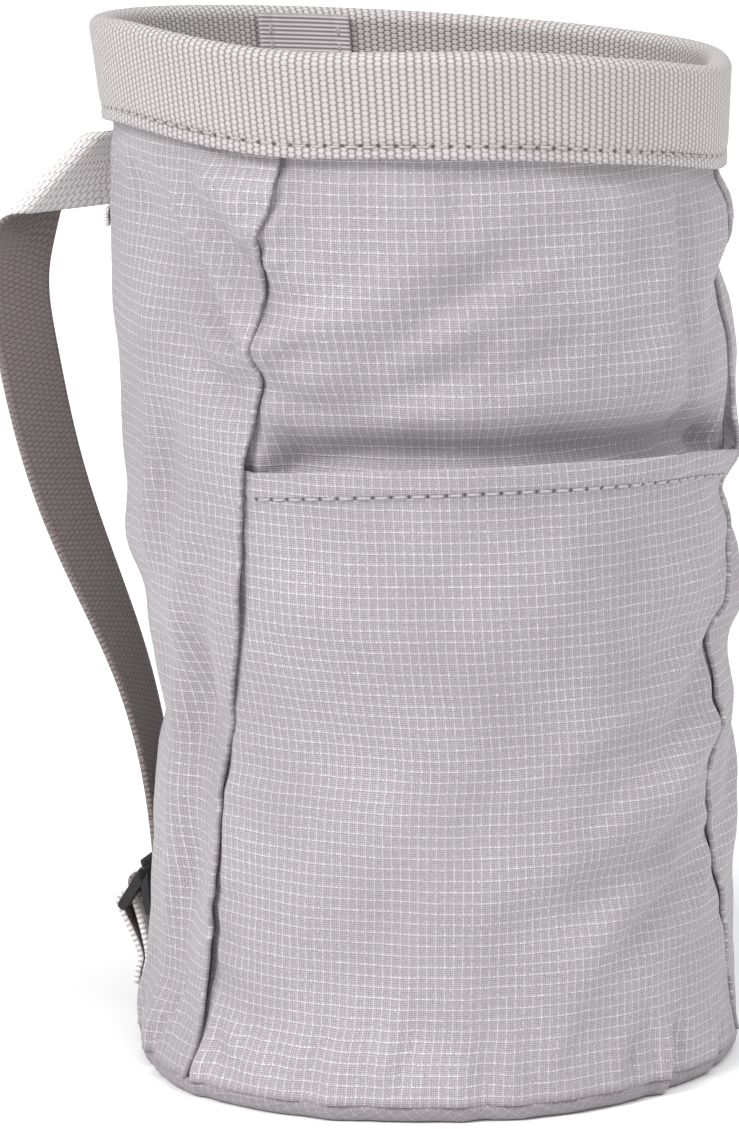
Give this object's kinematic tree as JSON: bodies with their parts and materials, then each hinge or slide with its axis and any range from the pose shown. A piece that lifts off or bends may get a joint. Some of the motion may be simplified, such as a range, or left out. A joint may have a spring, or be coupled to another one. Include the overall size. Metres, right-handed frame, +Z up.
{
  "type": "climbing chalk bag",
  "caption": "Soft cylindrical climbing chalk bag with a stiff webbing rim, a flat front pocket and a webbing carry strap on a ladder lock.",
  "frame": {"origin": "middle of the flat base, on the surface that the bag stands on", "axes": "+Z up towards the mouth, -Y towards the pocket side, -X towards the strap's side"},
  "size_m": [0.1428, 0.1244, 0.2081],
  "materials": {
    "ripstop_cloth": "light grey coated ripstop cloth with raised grid threads",
    "base_cloth": "plain grey coated cloth, slightly darker than the wall",
    "rim_webbing": "pale grey coarse woven webbing",
    "grosgrain_tape": "grey grosgrain tape with fine ribs across it",
    "strap_webbing": "grey flat webbing",
    "moulded_plastic": "black moulded plastic, slightly glossy"
  },
  "bodies": {
    "root": {"front_panel": "ripstop_cloth", "wrap_panel": "ripstop_cloth", "front_pocket": "ripstop_cloth", "base_panel": "base_cloth", "rim_band": "rim_webbing", "rim_join_tape": "grosgrain_tape", "carry_strap": "strap_webbing", "anchor_webbing": "strap_webbing", "side_tab": "strap_webbing", "ladder_lock": "moulded_plastic"}
  },
  "joints": []
}
